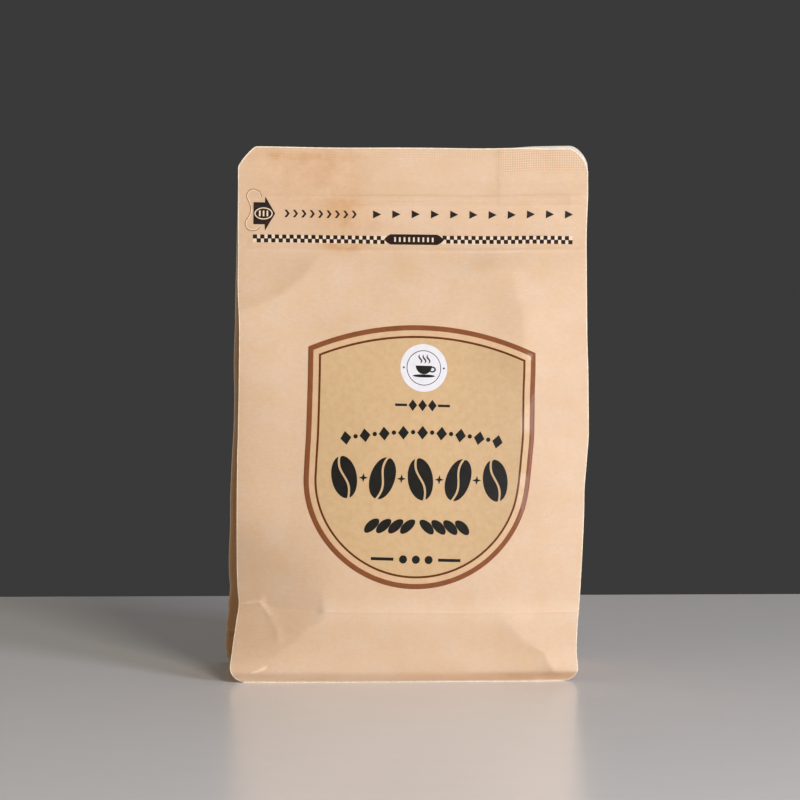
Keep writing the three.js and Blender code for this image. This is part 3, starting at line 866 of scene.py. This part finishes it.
# ------------------------------------------------------------
# Label. A shield-shaped sticker of smooth coated paper, printed and pressed
# onto the front panel, turned a little clockwise.
# ------------------------------------------------------------
LABEL_CENTRE, LABEL_TURN = (1.4, 76.5), math.radians(-1.45)
LABEL_HALF = 42.0            # half its width
LABEL_SHOULDER = 44.8        # height of its shoulders over the centre
LABEL_ARCH = 9.0             # rise of its arched top
LABEL_SIDE = 46.4            # length of its straight sides
LABEL_TOE = 39.9             # depth of its round toe
LABEL_FACE = 0.20            # the label's face off the panel
LABEL_UNDER = 0.02           # its underside off the panel


def on_label(u, v, off=0.0):
    """Flat label point (u, v) laid on the bag, off millimetres off the panel."""
    c, s = math.cos(LABEL_TURN), math.sin(LABEL_TURN)
    return front_point(LABEL_CENTRE[0] + u * c - v * s, LABEL_CENTRE[1] + u * s + v * c, off)


def shield(inset):
    """Outline of the label drawn in by inset, anticlockwise from its right
    shoulder: arch, left side, toe, right side."""
    half = LABEL_HALF - inset
    radius = (LABEL_HALF**2 + LABEL_ARCH**2) / (2 * LABEL_ARCH)
    centre_v = LABEL_SHOULDER + LABEL_ARCH - radius
    u = half * (1 - 2 * spaced((0, 1, 1 / 56)))[:-1]
    arch = np.stack([u, centre_v + np.sqrt((radius - inset)**2 - u**2)], 1)
    shoulder = centre_v + math.sqrt((radius - inset)**2 - half**2)
    foot = LABEL_SHOULDER - LABEL_SIDE
    share = spaced((0, 1, 1 / 30))[:-1]
    left = np.stack([np.full(30, -half), shoulder + (foot - shoulder) * share], 1)
    right = np.stack([np.full(30, half), foot + (shoulder - foot) * share], 1)
    angle = math.pi * (1 + spaced((0, 1, 1 / 84))[:-1])
    toe = np.stack([half * np.cos(angle), foot + (LABEL_TOE - inset) * np.sin(angle)], 1)
    return np.concatenate([arch, left, toe, right])


def coated_paper(name, low, high, right_shade=1.0):
    """Printed coated paper under clear varnish: smooth, with a faint mottle of 2.4 mm. right_shade is
    painted shade: how much darker the colour gets towards the right edge."""
    material, tree, shader = new_material(name)
    where = add(tree, "ShaderNodeTexCoord", out="Object")
    cloud = add(tree, NOISE, Vector=where, Scale=420.0, Detail=6.0, Roughness=0.7)
    tone = add(tree, RAMP, Fac=cloud, stops=((0.32, linear(low)), (0.68, linear(high))))
    # Painted shade: the colour darkens towards the right edge.
    if right_shade < 1:
        across = add(tree, "ShaderNodeSeparateXYZ", out="X", Vector=where)
        across = add(tree, "ShaderNodeMapRange", Value=across, From_Min=0.008, From_Max=0.045)
        shade = add(tree, RAMP, Fac=across, stops=((0.0, grey(1.0)), (1.0, grey(right_shade))))
        tone = add(tree, MIX, TINT, 2, _0=1.0, _6=tone, _7=shade)
    fine = add(tree, NOISE, Vector=where, Scale=1600.0, Detail=2.0)
    bump = add(tree, "ShaderNodeBump", Strength=0.12, Distance=0.00002, Height=fine)
    feed(shader, Base_Color=tone, Roughness=0.5, Specular_IOR_Level=0.10, Coat_Weight=0.08,
         Coat_Roughness=0.06, Normal=bump)
    return material


LABEL_FIELD = coated_paper("coated_label_paper_tan_painted_shade", "#c3a279", "#cbac85", 0.88)
LABEL_GAP_TONE = coated_paper("coated_label_paper_border", "#c8a681", "#d2b08c")
LABEL_BROWN = coated_paper("coated_label_ink_brown", "#7a4728", "#865132")
LABEL_LINE = coated_paper("coated_label_ink_line", "#5b2c0a", "#663511")
LABEL_INK = coated_paper("coated_label_ink_dark", "#1c1b17", "#25231e")
LABEL_WHITE = coated_paper("coated_label_ink_white", "#d6d5d9", "#dfdee2")
# The cut shows the label's white core, a little soiled.
LABEL_EDGE = mottled("label_cut_edge", "#ebdfcc", "#f3e9d8", 1.111, 0.8)

# Rings of the label from the rim inwards: (inset, material of the band inside).
LABEL_RINGS = [(0.0, 0), (0.12, 0), (0.95, 0), (1.85, 1), (2.9, 1), (3.9, 2), (4.68, 3)]
LABEL_RINGS += [(inset, 3) for inset in range(6, 40)]


def label_sheet():
    rings = [shield(inset) for inset, _ in LABEL_RINGS]
    count = len(rings[0])
    centre_v = rings[-1][:, 1].mean()
    flat = np.concatenate([*rings, [(0.0, centre_v)]])
    heights = np.full(len(flat), LABEL_FACE)
    heights[:count] -= 0.05                  # the cut rim lies a little lower
    top = on_label(flat[:, 0], flat[:, 1], heights)
    under = on_label(flat[:, 0], flat[:, 1], LABEL_UNDER)
    base = len(flat)
    last = (len(rings) - 1) * count
    faces, slots = [], []
    for k in range(len(rings) - 1):
        for i in range(count):
            j = (i + 1) % count
            a, b, c, d = k * count + i, k * count + j, (k + 1) * count + j, (k + 1) * count + i
            faces += [(a, b, c, d), (base + d, base + c, base + b, base + a)]
            slots += [LABEL_RINGS[k][1], 4]
    for i in range(count):
        j = (i + 1) % count
        faces += [(last + i, last + j, base - 1), (base + last + j, base + last + i, 2 * base - 1),
                  (i, base + i, base + j, j)]
        slots += [3, 4, 4]
    mesh = bpy.data.meshes.new("front_label_sticker")
    mesh.from_pydata((np.concatenate([top, under]) / 1000).tolist(), [], faces)
    mesh.polygons.foreach_set("material_index", slots)
    mesh.shade_smooth()
    for material in (LABEL_BROWN, LABEL_GAP_TONE, LABEL_LINE, LABEL_FIELD, LABEL_EDGE):
        mesh.materials.append(material)
    return new_object("front_label_sticker", mesh)


label = label_sheet()
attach(label, "root")
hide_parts("front_label")

# Print on the label, in dark ink on the tan field: a white badge and five rows
# of plain ornament.
def label_print(obj, off=INK_OFF):
    lay(obj, on_label, LABEL_FACE + off)
    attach(obj, "root")
    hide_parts("front_label")


def label_row(name, shapes, count, start, middle, end, off=INK_OFF):
    label_print(row(name, shapes, count, start, middle, end, LABEL_INK), off)


def stroke(path, width):
    """Outline of a brush stroke along a path, pointed at both ends."""
    path = np.array(path, float)
    way = np.gradient(path, axis=0)
    way /= np.linalg.norm(way, axis=1, keepdims=True)
    across = np.stack([-way[:, 1], way[:, 0]], 1)
    t = np.linspace(0, 1, len(path))[1:-1]
    half = (width / 2) * np.sqrt(np.sin(math.pi * t))[:, None]
    left = path[1:-1] + across[1:-1] * half
    right = path[1:-1] - across[1:-1] * half
    return [tuple(p) for p in [path[0], *right, path[-1], *left[::-1]]]


# The badge: a ring, a steaming cup on its saucer, and a dot at either side.
BADGE = (0.45, 38.3)
bx, by = BADGE
label_print(flat_object("label_badge", [[ellipse(*BADGE, 8.65, 8.65, 64)]], LABEL_WHITE))
label_print(flat_object("label_badge_ring", [
    [ellipse(*BADGE, 6.35, 6.35, 64), ellipse(*BADGE, 6.1, 6.1, 64)]], LABEL_INK), OVER_OFF)
bowl = [(bx - 3.0, by + 0.8)] + [
    (bx + 3.0 * math.cos(t), by + 0.8 + 3.1 * math.sin(t)) for t in
    (math.pi * (1 + i / 14) for i in range(1, 14))] + [(bx + 3.0, by + 0.8)]
handle = [ellipse(bx + 3.1, by - 0.5, 1.35, 1.1, 24), ellipse(bx + 3.1, by - 0.5, 0.8, 0.6, 24)]
saucer = ellipse(bx, by - 2.9, 4.1, 0.55, 32)
steam = [[stroke([(bx + x + 0.5 * math.sin(t * 1.9 * math.pi), by + 1.6 + 3.2 * t)
                  for t in np.linspace(0, 1, 14)], 0.55)] for x in (-1.3, 0.2, 1.7)]
label_print(flat_object("label_badge_cup", [[bowl], handle, [saucer], *steam], LABEL_INK), OVER_OFF)
label_row("label_badge_dots", [[ellipse(0, 0, 0.36, 0.36, 14)]], 2,
          (bx - 7.4, by), (bx, by), (bx + 7.4, by), OVER_OFF)


def diamond(width, height):
    return [[[(0, -height), (width, 0), (0, height), (-width, 0)]]]


# A small rule: two bars either side of three lozenges.
label_print(flat_object("label_small_rule", [
    [box(-10.0, 24.3, -5.6, 25.2)], [box(5.8, 24.3, 10.2, 25.2)]], LABEL_INK))
label_row("label_small_lozenges", diamond(1.6, 2.1), 3, (-3.5, 24.75), (0.1, 24.75), (3.7, 24.75))

# A bowed row: lozenges with dots between them.
label_row("label_bow_lozenges", diamond(2.0, 2.5), 9, (-27.6, 12.2), (0.4, 17.6), (28.2, 12.2))
label_row("label_bow_dots", [[ellipse(0, 0, 0.8, 0.8, 16)]], 8,
          (-24.1, 12.9), (0.4, 17.25), (24.7, 12.9))


def leant(path, lean):
    """A closed outline turned about its centre by lean radians."""
    c, s = math.cos(lean), math.sin(lean)
    return [(x * c - y * s, x * s + y * c) for x, y in path]


def bean(height, width, lean):
    """Coffee bean seen from above: two halves with an S-shaped groove between."""
    halves = []
    for side in (-1, 1):
        brim = [(side * width / 2 * math.sin(t), height / 2 * math.cos(t))
                for t in np.linspace(0.13, math.pi - 0.13, 22)]
        groove = [(side * 0.4 + 0.11 * width * math.sin(1.9 * math.pi * v), height * (v - 0.5))
                  for v in np.linspace(0.03, 0.97, 16)]
        halves.append([leant(brim + groove, lean)])
    return halves


# Five beans, leaning by turns, with small stars between them.
BEAN_U, BEAN_V = 0.7, -1.8
for name, lean, count, reach in (("label_beans", 14, 3, 28.0), ("label_beans_between", -14, 2, 14.0)):
    label_row(name, bean(15.4, 9.2, math.radians(lean)), count,
              (BEAN_U - reach, BEAN_V), (BEAN_U, BEAN_V), (BEAN_U + reach, BEAN_V))
STAR = [(r * math.cos(i * math.pi / 4), r * math.sin(i * math.pi / 4))
        for i, r in enumerate([1.7, 0.6] * 4)]
label_row("label_stars", [[STAR]], 4, (BEAN_U - 21, BEAN_V), (BEAN_U, BEAN_V), (BEAN_U + 21, BEAN_V))

# A row of leaves that part in the middle.
LEAF = stroke([(7.1 * (t - 0.5), 0.25 * math.sin(math.pi * t)) for t in np.linspace(0, 1, 18)], 3.4)
for name, lean, start, end in (("label_leaves_left", 0.75, -16.4, -3.1),
                               ("label_leaves_right", -0.75, 3.8, 17.1)):
    label_row(name, [[leant(LEAF, lean)]], 4, (start, -19.0), ((start + end) / 2, -19.0), (end, -19.0))

# The last row: a rule, three dots and a rule.
label_print(flat_object("label_foot_rule", [
    [box(-16.4, -31.35, -8.0, -30.25)], [box(8.8, -31.35, 17.2, -30.25)]], LABEL_INK))
label_row("label_foot_dots", [[ellipse(0, 0, 1.5, 1.5, 24)]], 3,
          (-4.4, -30.8), (0.4, -30.8), (5.2, -30.8))

# ------------------------------------------------------------
# Stage. A pale laminate table that ends behind the bag, four soft lights and a
# camera at the photograph's viewing angle. Lengths here are metres.
# ------------------------------------------------------------
REACH = 6.0
TABLE_BACK = 0.235           # the table ends this far behind the bag
table_mesh = bpy.data.meshes.new("table")
table_mesh.from_pydata([(-REACH, -REACH, 0), (REACH, -REACH, 0), (REACH, TABLE_BACK, 0),
                        (-REACH, TABLE_BACK, 0)], [], [(0, 1, 2, 3)])
table_mesh.materials.append(mottled("pale_laminate_table", "#e9e8ea", "#ebeaec", 16.67, 0.26,
                                    specular=0.3))
table = new_object("table", table_mesh)

LIT_PLACE = Vector((0, 0, 0.1))


def area_light(name, place_at, size, power, colour):
    lamp = bpy.data.lights.new(name, "AREA")
    lamp.shape, lamp.size, lamp.size_y = "RECTANGLE", size[0], size[1]
    lamp.energy, lamp.color = power, colour
    obj = new_object(name, lamp)
    away = Vector(place_at) - LIT_PLACE
    obj.matrix_world = Matrix.Translation(place_at) @ away.to_track_quat("Z", "Y").to_matrix().to_4x4()
    return obj


area_light("key", (0.88, -1.05, 0.34), (0.42, 0.34), 12.8, (0.92, 0.975, 1.13))
fill = area_light("fill", (0.42, -1.55, 0.86), (0.4, 0.4), 13.2, (1.07, 0.98, 0.84))
fill.visible_glossy = False      # its mirror image would lie across the label
area_light("bounce", (-1.15, -0.95, 0.3), (0.9, 0.7), 3.0, (1.03, 0.90, 0.68))
area_light("back", (0.35, 1.0, 1.9), (1.0, 0.8), 2.6, (1.0, 0.99, 0.98))

# A dim room with a paler ceiling.
world = bpy.data.worlds.new("studio")
bpy.context.scene.world = world
world.use_nodes = True
tree = world.node_tree
height = add(tree, "ShaderNodeSeparateXYZ", out="Z",
             Vector=add(tree, "ShaderNodeTexCoord", out="Generated"))
feed(tree.nodes["Background"], Color=add(
    tree, RAMP, Fac=height, stops=((0.06, grey(0.042)), (0.60, (0.158, 0.15, 0.14, 1.0)))))

YAW, PITCH, ROLL, DISTANCE = math.radians(5.8), math.radians(4.1), 0.00867, 1.5
AIM = (-0.002437, 0.0, 0.101534)
FOCAL_PX = 4037.1            # focal length in pixels of the 800-pixel frame
right = np.array([math.cos(YAW), -math.sin(YAW), 0])
ahead = np.array([math.sin(YAW) * math.cos(PITCH), math.cos(YAW) * math.cos(PITCH), -math.sin(PITCH)])
up = np.cross(right, ahead)
right, up = (right * math.cos(ROLL) + up * math.sin(ROLL),
             up * math.cos(ROLL) - right * math.sin(ROLL))
eye = np.array(AIM) - ahead * DISTANCE
lens = bpy.data.cameras.new("camera")
lens.sensor_fit, lens.sensor_width = "HORIZONTAL", 36.0
lens.lens = FOCAL_PX * lens.sensor_width / 800
lens.clip_start, lens.clip_end = 0.05, 50
camera = new_object("camera", lens)
camera.matrix_world = Matrix([[right[i], up[i], -ahead[i], eye[i]] for i in range(3)] + [[0, 0, 0, 1]])
bpy.context.scene.camera = camera
bpy.context.scene.view_settings.view_transform = "Standard"
